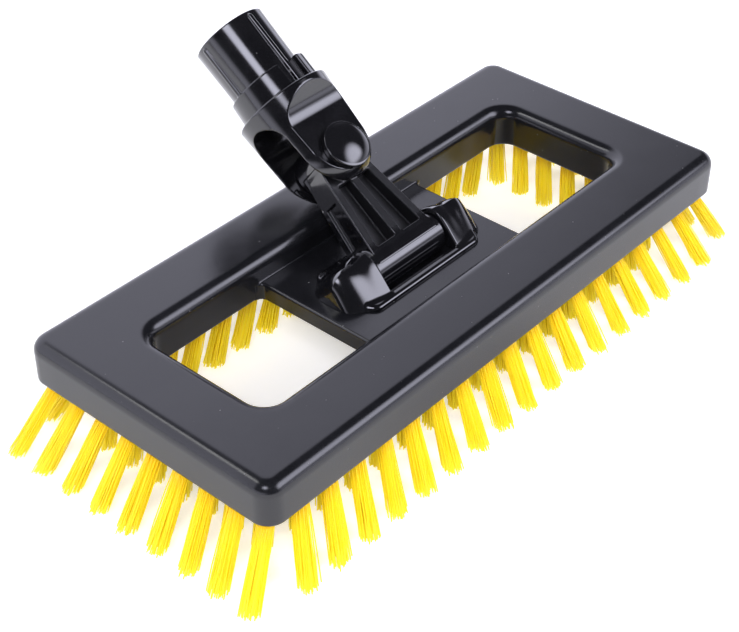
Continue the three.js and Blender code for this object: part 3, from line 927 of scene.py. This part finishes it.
    def build(self, shop: Workshop) -> None:
        """Makes one piece of tufts for each bar."""
        rng = np.random.default_rng(SEED)
        roots, leans = self.tufts()
        bars = self.bar_of(roots)
        for place, bar in enumerate(Bar):
            mine = bars == place
            surface, tone, reach = self.strands(roots[mine], leans[mine], rng)
            piece = shop.piece(f"tufts_{bar.value}", surface, Body.BLOCK, Slot.NYLON,
                               [f"bristles_{bar.value}"], self.smooth_angle)
            mark(piece, "tone", tone)
            mark(piece, "reach", reach)


@dataclass
class HingeBracket:
    """The bracket on the plate: a low pad with two sills and an ear on each side of the barrel."""

    half_length: float = 39.5
    ear_height: float = 14.4
    ear_face: float = 12.1
    face_slope: float = 50.0
    end_slope: float = 83.0
    roundness: float = 7.0
    plan_roundness: float = 3.5
    saddle: float = 1.2
    saddle_at: float = 27.5
    saddle_width: float = 4.0
    ear_inner: float = 19.6
    pad_length: float = 65.0
    pad_depth: float = 32.6
    pad_height: float = 2.0
    pad_corner: float = 5.0
    pad_round: float = 1.9
    sill_inner: float = 12.65
    edge: float = 0.7
    fillet: float = 1.2
    probe: float = 0.05
    cell: float = 0.34

    def pebble(self, x: Array, y: Array, z: Array) -> Array:
        """Pebble that both ears are cut from, below zero inside.

        A point's share of a face is its distance along the face's normal over the face's own. The
        root of the shares' summed powers is one on the skin, so a low power runs two leaning faces
        and two steep ends into each other in a wide round, and a high one runs these into the top.
        A saddle dips across each ear's ridge.
        """
        dip = self.saddle * np.exp(-((np.abs(x) - self.saddle_at) / self.saddle_width) ** 2)
        rise = z / (1 - dip / self.ear_height)
        face, end = np.radians([self.face_slope, self.end_slope])
        across = (np.abs(y) * math.sin(face) + rise * math.cos(face)) / self.ear_face
        along = (np.abs(x) * math.sin(end) + rise * math.cos(end)) / self.half_length
        plan = np.maximum(across, 0) ** self.plan_roundness + np.maximum(along, 0) ** self.plan_roundness
        top = np.maximum(rise / self.ear_height, 0) ** self.roundness
        return (plan ** (self.roundness / self.plan_roundness) + top) ** (1 / self.roundness) - 1

    def field(self, x: Array, y: Array, z: Array) -> Array:
        """Distance to the bracket, with z counted from the plate's top."""
        pebble = as_distance(self.pebble, self.probe)(x, y, z)
        ear = meet(pebble, self.ear_inner - np.abs(x), self.edge)
        over_x = np.abs(x) - self.pad_length / 2 + self.pad_corner
        over_y = np.abs(y) - self.pad_depth / 2 + self.pad_corner
        plan = np.hypot(np.maximum(over_x, 0), np.maximum(over_y, 0)) - self.pad_corner
        plan = plan + np.minimum(np.maximum(over_x, over_y), 0)
        pad = meet(plan, z - self.pad_height, self.pad_round)
        gap = np.maximum(np.abs(x) - self.ear_inner, np.abs(y) - self.sill_inner)
        pad = cut(pad, gap, self.edge)
        return np.maximum(join(ear, pad, self.fillet), -z)

    def build(self, shop: Workshop) -> None:
        """Makes the bracket in the gloss finish."""
        floor = node_box("hinge_bracket")[0][2]
        reach = np.array([self.half_length, self.pad_depth / 2]) + GRID_MARGIN
        top = self.ear_height + GRID_MARGIN
        surface = contour(self.field, (*-reach, -GRID_MARGIN), (*reach, top), self.cell)
        surface = surface.moved(np.eye(3), np.array([0, 0, floor]))
        shop.piece("bracket_shell", surface, Body.BLOCK, Slot.SWIVEL_PLASTIC, ["hinge_bracket"])


@dataclass
class SwivelArm:
    """The arm: a barrel on the hinge and a round boss on the pivot, joined by a pocketed web."""

    swivel: SwivelFrame
    barrel_radius: float = 8.2
    barrel_half: float = 19.2
    base_half: float = 17.0
    boss_radius: float = 10.7
    tongue_half: float = 9.3
    neck_half: float = 6.5
    wall: float = 3.7
    rib: float = 4.0
    web: float = 3.0
    shelf: float = 5.9
    panel_depth: float = 1.4
    panel_half: float = 3.5
    panel_margin: float = 4.5
    panel_edge: float = 0.3
    edge: float = 0.7
    rib_dullness: float = 0.6
    cell: float = 0.4

    def half_width(self, z: Array) -> Array:
        """Half the web's width, which narrows evenly from the barrel to the boss."""
        return self.base_half + (self.boss_radius - self.base_half) * z / self.swivel.arm_length

    def pockets(self, x: Array, y: Array, z: Array) -> Array:
        """Distance to the four pockets, two on each face of the web."""
        length = self.swivel.arm_length
        across = meet(self.rib / 2 - np.abs(x), np.abs(x) - self.half_width(z) + self.wall, self.edge)
        along = meet(self.shelf - z, z - length + self.boss_radius, self.edge)
        return meet(meet(across, along, self.edge), self.web / 2 - np.abs(y), self.edge)

    def field(self, x: Array, y: Array, z: Array) -> Array:
        """Distance to the arm, upright on the hinge axis."""
        length = self.swivel.arm_length
        neck = length - self.boss_radius
        half_thick = np.interp(z, [0, neck], [self.barrel_radius, self.neck_half])
        sides = np.abs(x) - self.half_width(z)
        faces = np.abs(y) - half_thick
        web = np.maximum(meet(sides, faces, self.edge), np.maximum(-z, z - length))
        barrel = meet(np.hypot(y, z) - self.barrel_radius, np.abs(x) - self.barrel_half, self.edge)
        boss = meet(np.hypot(x, z - length) - self.boss_radius, np.abs(y) - self.tongue_half, self.edge)
        solid = join(join(web, barrel, self.edge), boss, self.edge)
        tall = np.maximum(self.shelf + self.panel_margin - z, z - neck + self.panel_margin)
        outline = np.maximum(tall, np.abs(y) - self.panel_half)
        panel = meet(outline, -self.panel_depth - sides, self.panel_edge)
        return cut(cut(solid, self.pockets(x, y, z), self.edge), panel, self.edge / 2)

    def build(self, shop: Workshop) -> None:
        """Makes the arm in the gloss finish, duller in its pockets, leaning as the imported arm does."""
        reach = np.array([self.barrel_half, self.tongue_half]) + GRID_MARGIN
        foot = -self.barrel_radius - GRID_MARGIN
        top = self.swivel.arm_length + self.boss_radius + GRID_MARGIN
        surface = contour(self.field, (*-reach, foot), (*reach, top), self.cell)
        ribs = np.interp(surface.points[:, 2], [self.shelf, self.shelf + self.rib], [0, self.rib_dullness])
        flat = np.abs(surface.normals[:, 1])
        dull = np.where(self.pockets(*surface.points.T) < self.edge / 2, 1.0, ribs * flat)
        surface = surface.moved(self.swivel.axes, self.swivel.hinge)
        arm = shop.piece("arm_casting", surface, Body.ARM, Slot.SWIVEL_PLASTIC, ["swivel_arm"])
        arm.data.materials[0] = shop.ribbed
        mark(arm, "dull", dull)


@dataclass
class HandleSocket:
    """The fork and handle socket, one moulding: a ball end, flats, collar, lug, beads and bore."""

    swivel: SwivelFrame
    end_radius: float = 19.1
    end_centre: float = 4.6
    top_radius: float = 20.5
    height: float = 30.3
    top_round: float = 1.0
    slot_half: float = 9.6
    slot_top: float = 14.4
    flat_half: float = 13.5
    crescent_base: float = 20.7
    crescent_rim: float = 2.5
    crescent_fillet: float = 3.0
    collar_foot: float = 17.4
    collar_radius: float = 16.7
    collar_height: float = 10.1
    tube_foot: float = 14.9
    tube_radius: float = 15.5
    tube_length: float = 34.3
    bore_radius: float = 12.6
    bore_depth: float = 33.6
    bead_radius: float = 1.2
    bead_proud: float = 0.9
    bead_top_gap: float = 1.3
    bead_turns: tuple[float, ...] = (4.0, 94.0, 184.0, 274.0)
    bead_fillet: float = 0.3
    neck_fillet: float = 0.4
    neck_sunk: float = 1.0
    lug_radius: float = 18.0
    lug_sweep: float = 42.0
    lug_groove: float = 1.2
    groove_floor: float = 0.4
    open_start: float = -12.0
    open_sweep: float = 32.0
    open_turns: tuple[float, ...] = (0.0, 180.0)
    edge: float = 0.6
    cell: float = 0.45

    def sector(self, x: Array, y: Array, start: float, sweep: float) -> Array:
        """Distance to a wedge about the axis, with angles in degrees from the front towards +x."""
        first, last = np.radians([start, start + sweep])
        return np.maximum(-x * np.cos(first) - y * np.sin(first), x * np.cos(last) + y * np.sin(last))

    def taper(self, z: Array, foot: float, top: float, length: float) -> Array:
        """Radius of a wall on the fork that runs evenly from its foot's radius to its top's."""
        return foot + (top - foot) * (z - self.height) / length

    def outside(self, x: Array, y: Array, z: Array) -> Array:
        """Distance to the turned body with its collar, lug and beads."""
        radius = np.hypot(x, y)
        rim = self.height + self.tube_length
        collar_top = self.height + self.collar_height
        up_fork = (z - self.end_centre) / (self.height - self.end_centre)
        ball = np.hypot(radius, z - self.end_centre) - self.end_radius
        cone = radius - self.end_radius - (self.top_radius - self.end_radius) * up_fork
        fork = meet(np.where(up_fork < 0, ball, cone), z - self.height, self.top_round)
        wall = self.taper(z, self.tube_foot, self.tube_radius, self.tube_length)
        tube = meet(radius - wall, z - rim, self.edge)
        wall = self.taper(z, self.collar_foot, self.collar_radius, self.collar_height)
        collar = meet(radius - wall, z - collar_top, self.edge)
        for turn in self.open_turns:
            gap = np.maximum(self.sector(x, y, turn + self.open_start, self.open_sweep), self.height - z)
            collar = cut(collar, gap, self.edge)
        lug_start = self.open_start + self.open_sweep
        lug = meet(radius - self.lug_radius, z - collar_top, self.edge)
        lug = meet(lug, self.sector(x, y, lug_start, self.lug_sweep), self.edge)
        groove = np.radians(lug_start + self.lug_sweep / 3)
        beside = np.abs(x * np.cos(groove) + y * np.sin(groove)) - self.lug_groove / 2
        lug = cut(lug, np.maximum(beside, self.collar_radius + self.groove_floor - radius), self.edge / 3)
        below = self.height - self.neck_sunk - z
        above = np.maximum(np.minimum(np.minimum(tube, collar), lug), below)
        axis = self.tube_radius + self.bead_proud - self.bead_radius
        over = np.maximum(z - rim + self.bead_top_gap + self.bead_radius, 0)
        for middle in np.radians(self.bead_turns):
            bead = np.sqrt((x - axis * np.sin(middle)) ** 2 + (y + axis * np.cos(middle)) ** 2 + over ** 2)
            bead = np.maximum(bead - self.bead_radius, below)
            above = join(above, bead, self.bead_fillet)
        return join(fork, above, self.neck_fillet)

    def field(self, x: Array, y: Array, z: Array) -> Array:
        """Distance to the whole moulding, upright on the pivot axis."""
        shape = self.outside(x, y, z)
        rim = self.height + self.tube_length
        bore = np.maximum(np.hypot(x, y) - self.bore_radius, rim - self.bore_depth - z)
        shape = cut(shape, bore, self.edge)
        run = self.top_radius - self.flat_half
        rise = self.height - self.crescent_rim - self.crescent_base
        steep = math.hypot(run, rise)
        depth = self.flat_half - np.abs(y)
        slant = ((z - self.crescent_base) * run - (np.abs(y) - self.flat_half) * rise) / steep
        shape = cut(shape, meet(depth, slant, self.crescent_fillet), self.edge / 2)
        arch = np.hypot(y, np.maximum(z - self.slot_top, 0)) - self.slot_half
        return cut(shape, arch, self.edge)

    def build(self, shop: Workshop) -> None:
        """Makes the socket in the gloss finish, in line with the leaning arm."""
        reach = self.top_radius + GRID_MARGIN
        foot = -self.end_radius - GRID_MARGIN
        rim = self.height + self.tube_length + GRID_MARGIN
        surface = contour(self.field, (-reach, -reach, foot), (reach, reach, rim), self.cell)
        surface = surface.moved(self.swivel.axes, self.swivel.pivot)
        shop.piece("socket_moulding", surface, Body.SOCKET, Slot.SWIVEL_PLASTIC, ["handle_socket"])


@dataclass
class PivotCaps:
    """A domed push-on cap at each end of the pivot pin."""

    swivel: SwivelFrame
    seat: float = 13.8
    radius: float = 9.8
    front_wall: float = 2.6
    rear_wall: float = 1.7
    dome: float = 2.2
    edge: float = 0.4
    step: float = 0.5
    skirt_steps: int = 4
    crown_steps: int = 16
    segments: int = 72

    def profile(self, wall: float) -> Array:
        """Half section of a cap as radii and heights above its seat: skirt, step and dome."""
        shoulder = self.radius - self.step
        ball = (shoulder ** 2 + self.dome ** 2) / (2 * self.dome)
        lean = math.degrees(math.asin(shoulder / ball))
        skirt = arc((self.radius - self.edge, wall - self.edge), self.edge, 0, 90, self.skirt_steps)
        crown = arc((0, wall + self.dome - ball), ball, 90 - lean, 90, self.crown_steps)
        foot = [[0, 0], [self.radius, 0], [self.radius, self.edge / 2]]
        return np.concatenate([foot, skirt, crown])

    def build(self, shop: Workshop) -> None:
        """Makes both caps in the gloss finish."""
        side, rear, up = self.swivel.axes
        for name, sign, wall in (("front", -1.0, self.front_wall), ("rear", 1.0, self.rear_wall)):
            cap = turned(self.profile(wall), self.segments)
            axes = np.stack([side * sign, up, rear * sign])
            placed = cap.moved(axes, self.swivel.pivot + rear * sign * self.seat)
            shop.piece(f"cap_{name}", placed, Body.SOCKET, Slot.SWIVEL_PLASTIC, [f"pivot_cap_{name}"])


@dataclass
class BracketScrews:
    """The four countersunk screws that hold the bracket from below, with crossed drive recesses."""

    head: float = 3.8
    shank: float = 1.7
    rim: float = 0.6
    cone: float = 2.1
    tip: float = 1.2
    slot_width: float = 0.5
    slot_reach: float = 2.1
    slot_depth: float = 1.7
    edge: float = 0.12
    margin: float = 0.5
    count: int = 4
    cell: float = 0.2

    def __post_init__(self) -> None:
        """Takes the screws' length from the first packed one."""
        low, high = node_box("bracket_screw_1")
        self.length = float(high[2] - low[2])

    def field(self, x: Array, y: Array, z: Array) -> Array:
        """Distance to a screw standing on its head, whose recess narrows as it deepens."""
        heights = [self.rim, self.rim + self.cone, self.length - self.tip, self.length]
        radius = np.interp(z, heights, [self.head, self.shank, self.shank, 0])
        body = meet(np.hypot(x, y) - radius, -z, self.edge)
        width = self.slot_width * (1 - z / self.slot_depth / 2)
        reach = self.slot_reach * (1 - z / self.slot_depth / 2)
        one = np.maximum(np.abs(x) - width, np.abs(y) - reach)
        other = np.maximum(np.abs(y) - width, np.abs(x) - reach)
        recess = np.maximum(np.minimum(one, other), z - self.slot_depth)
        return np.maximum(cut(body, recess, self.edge), z - self.length)

    def build(self, shop: Workshop) -> None:
        """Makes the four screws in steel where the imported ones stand."""
        reach = self.head + self.margin
        top = self.length + self.margin
        screw = contour(self.field, (-reach, -reach, -self.margin), (reach, reach, top), self.cell)
        for number in range(1, self.count + 1):
            node = f"bracket_screw_{number}"
            low, high = node_box(node)
            place = np.array([(low[0] + high[0]) / 2, (low[1] + high[1]) / 2, low[2]])
            shop.piece(f"screw_{number}", screw.moved(np.eye(3), place), Body.BLOCK, Slot.STEEL, [node])


# Studio


@dataclass(frozen=True)
class Softbox:
    """A rectangular lamp whose face looks as bright as its radiance, where white is 1."""

    name: str
    towards: Triple
    distance: float
    size: Pair
    radiance: float
    mirrored: bool = False

    def hang(self, middle: Triple) -> None:
        """Hangs the lamp at its distance from a point, facing it.

        Gloss shows it only if it is mirrored, as gloss would not show light bounced off a dull wall.

        Args:
            middle: The point that it lights, in metres.
        """
        data = bpy.data.lights.new(self.name, "AREA")
        data.shape = "RECTANGLE"
        data.size, data.size_y = self.size
        data.energy = self.radiance * math.pi * self.size[0] * self.size[1]
        lamp = bpy.data.objects.new(self.name, data)
        direction = Vector(self.towards).normalized()
        lamp.location = direction * self.distance + Vector(middle)
        lamp.rotation_euler = direction.to_track_quat("Z", "Y").to_euler()
        lamp.visible_glossy = self.mirrored
        bpy.context.scene.collection.objects.link(lamp)


@dataclass(frozen=True)
class Studio:
    """Pale floor, soft lights and the camera at the photographed view.

    Heights and sides of the room are parts of a unit direction, and each pair is where a light or
    shade starts and ends its fade.
    """

    floor: float = -30.0
    floor_half: float = 6.0
    floor_colour: Colour = (0.88, 0.88, 0.88)
    azimuth: float = -49.152
    elevation: float = 38.027
    roll: float = 0.375
    distance: float = 641.996
    shift_right: float = -11.214
    shift_up: float = -16.161
    focal_pixels: float = 1642.6
    image_width: float = 739.0
    sensor: float = 36.0
    clip_start: float = 0.01
    paper: float = 1.5
    paper_top: Pair = (0.10, 0.30)
    dark_side: Triple = (-0.35, -0.937, 0.0)
    dark_fade: Pair = (0.70, 0.95)
    ceiling: float = 0.06
    panel: float = 1.6
    panel_side: Pair = (0.30, 0.57)
    panel_top: Pair = (0.70, 0.82)
    key: float = 5.5
    key_side: Triple = (0.480, -0.740, 0.470)
    key_fade: Pair = (0.885, 0.985)
    key_foot: Pair = (0.22, 0.42)
    top_light: float = 7.5
    top_side: Triple = (-0.557, -0.269, 0.786)
    top_fade: Pair = (0.972, 0.997)
    tint: Colour = (0.94, 0.94, 1.12)
    seen_glow: float = 0.45
    near_glow: float = 0.5
    near_fade: Pair = (0.5, 1.2)
    shade_fade: Pair = (0.07, 0.12)
    lit_point: Triple = (0.0, 0.03, 0.03)
    softboxes: tuple[Softbox, ...] = (
        Softbox("rear_left_strip", (-0.35, 0.48, 0.80), 1.4, (0.5, 0.2), 5.0, mirrored=True),
        Softbox("camera_fill", (-0.45, -0.78, 0.42), 1.6, (1.8, 1.1), 0.4),
        Softbox("left_fill", (-0.95, -0.10, 0.26), 1.6, (1.2, 0.8), 1.0),
        Softbox("right_fill", (0.62, -0.74, 0.22), 1.6, (1.2, 0.8), 0.5),
        Softbox("overhead_fill", (-0.58, -0.50, 0.64), 1.8, (0.8, 0.8), 7.0),
    )

    def camera(self) -> None:
        """Places the camera on its orbit about the block's middle."""
        turn, rise, tilt = np.radians([self.azimuth, self.elevation, self.roll])
        back = np.array([math.sin(turn) * math.cos(rise), -math.cos(turn) * math.cos(rise), math.sin(rise)])
        level = np.cross([0, 0, 1], back)
        level /= np.linalg.norm(level)
        upright = np.cross(back, level)
        right = math.cos(tilt) * level + math.sin(tilt) * upright
        up = math.cos(tilt) * upright - math.sin(tilt) * level
        place = (back * self.distance + right * self.shift_right + up * self.shift_up) * MM
        data = bpy.data.cameras.new("photo_camera")
        data.sensor_width = self.sensor
        data.lens = self.focal_pixels * self.sensor / self.image_width
        data.clip_start = self.clip_start
        camera = bpy.data.objects.new("photo_camera", data)
        camera.matrix_world = Matrix([(*row, p) for row, p in zip(np.stack([right, up, back], 1), place)]
                                     + [(0, 0, 0, 1)])
        bpy.context.scene.collection.objects.link(camera)
        bpy.context.scene.camera = camera

    def world(self) -> None:
        """A dark room with white paper round its foot, a broad panel behind and two soft lights."""
        world = bpy.data.worlds.new("studio")
        world.use_nodes = True
        sheet = Sheet(world.node_tree)
        direction = sheet.add("TexCoord").outputs["Generated"]
        parts = sheet.add("SeparateXYZ", {0: direction})
        rear, height = parts.outputs[1], parts.outputs[2]
        dark = sheet.spread(sheet.facing(direction, self.dark_side), *self.dark_fade, 1.0, 0.0)
        paper = sheet.math("MULTIPLY", sheet.spread(height, *self.paper_top, self.paper, 0.0), dark)
        panel = sheet.math("MULTIPLY", sheet.spread(rear, *self.panel_side, 0.0, self.panel),
                           sheet.spread(height, *self.panel_top, 1.0, 0.0))
        key = sheet.spread(sheet.facing(direction, self.key_side), *self.key_fade, 0.0, self.key)
        key = sheet.math("MULTIPLY", key, sheet.spread(height, *self.key_foot, 0.0, 1.0))
        top = sheet.spread(sheet.facing(direction, self.top_side), *self.top_fade, 0.0, self.top_light)
        lights = sheet.math("MAXIMUM", sheet.math("MAXIMUM", key, top), self.ceiling)
        sky = sheet.math("ADD", sheet.math("MAXIMUM", paper, panel), lights)
        room = sheet.add("Background", {"Color": (*self.tint, 1.0), "Strength": sky})
        white = sheet.add("Background", {"Color": (1.0, 1.0, 1.0, 1.0), "Strength": 1.0})
        seen = sheet.add("LightPath").outputs["Is Camera Ray"]
        both = sheet.add("MixShader", {0: seen, 1: room.outputs[0], 2: white.outputs[0]})
        sheet.add("OutputWorld", {"Surface": both.outputs[0]})
        bpy.context.scene.world = world

    def ground(self) -> None:
        """A wide pale floor that looks white and keeps the object's shadow.

        Near the object it glows for the camera and for the light that it sends back up. In gloss it
        is shaded under the block.
        """
        half = self.floor_half
        height = self.floor * MM
        mesh = bpy.data.meshes.new("floor")
        corners = [(half * x, half * y, height) for x, y in ((-1, -1), (1, -1), (1, 1), (-1, 1))]
        mesh.from_pydata(corners, [], [(0, 1, 2, 3)])
        material, sheet = new_material("white_floor")
        path = sheet.add("LightPath")
        camera = path.outputs["Is Camera Ray"]
        place = sheet.add("NewGeometry").outputs["Position"]
        away = sheet.add("VectorMath", {0: place}, operation="LENGTH").outputs["Value"]
        shade = sheet.spread(away, *self.shade_fade, 1.0, 0.0)
        shade = sheet.math("MULTIPLY", path.outputs["Is Glossy Ray"], shade)
        near = sheet.spread(away, *self.near_fade, self.near_glow, 0.0)
        near = sheet.math("MULTIPLY", near, sheet.math("SUBTRACT", 1.0, shade))
        seen = sheet.math("MULTIPLY", camera, self.seen_glow)
        unseen = sheet.math("MULTIPLY", sheet.math("SUBTRACT", 1.0, camera), near)
        glow = sheet.add("Emission", {"Strength": sheet.math("ADD", seen, unseen)})
        paper = sheet.add("BsdfDiffuse", {"Color": (*self.floor_colour, 1.0)})
        both = sheet.add("AddShader", {0: glow.outputs[0], 1: paper.outputs[0]})
        sheet.add("OutputMaterial", {"Surface": both.outputs[0]})
        mesh.materials.append(material)
        floor = bpy.data.objects.new("floor", mesh)
        bpy.context.scene.collection.objects.link(floor)

    def build(self) -> None:
        """Sets the camera, lights, world and floor."""
        self.camera()
        self.world()
        self.ground()
        for softbox in self.softboxes:
            softbox.hang(self.lit_point)
        bpy.context.scene.view_settings.view_transform = "Standard"


def main() -> None:
    """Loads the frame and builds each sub-assembly."""
    logging.basicConfig(level=logging.INFO, format="%(name)s: %(message)s")
    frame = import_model()
    Studio().build()
    effects = Effects()
    shop = Workshop(frame, {
        Slot.BLOCK_PLASTIC: SATIN_BLACK.material(effects),
        Slot.SWIVEL_PLASTIC: GLOSS_BLACK.material(effects),
        Slot.NYLON: FilamentNylon().material(),
        Slot.STEEL: BrightSteel().material(),
    }, RIBBED_BLACK.material(effects))
    swivel = SwivelFrame.from_joints(frame["joints"])
    BrushBlock().build(shop)
    Bristles().build(shop)
    HingeBracket().build(shop)
    SwivelArm(swivel).build(shop)
    HandleSocket(swivel).build(shop)
    PivotCaps(swivel).build(shop)
    BracketScrews().build(shop)
    for node in ("hinge_pin", "pivot_pin"):
        shop.dress_node(node, Slot.STEEL)


if __name__ == "__main__":
    main()
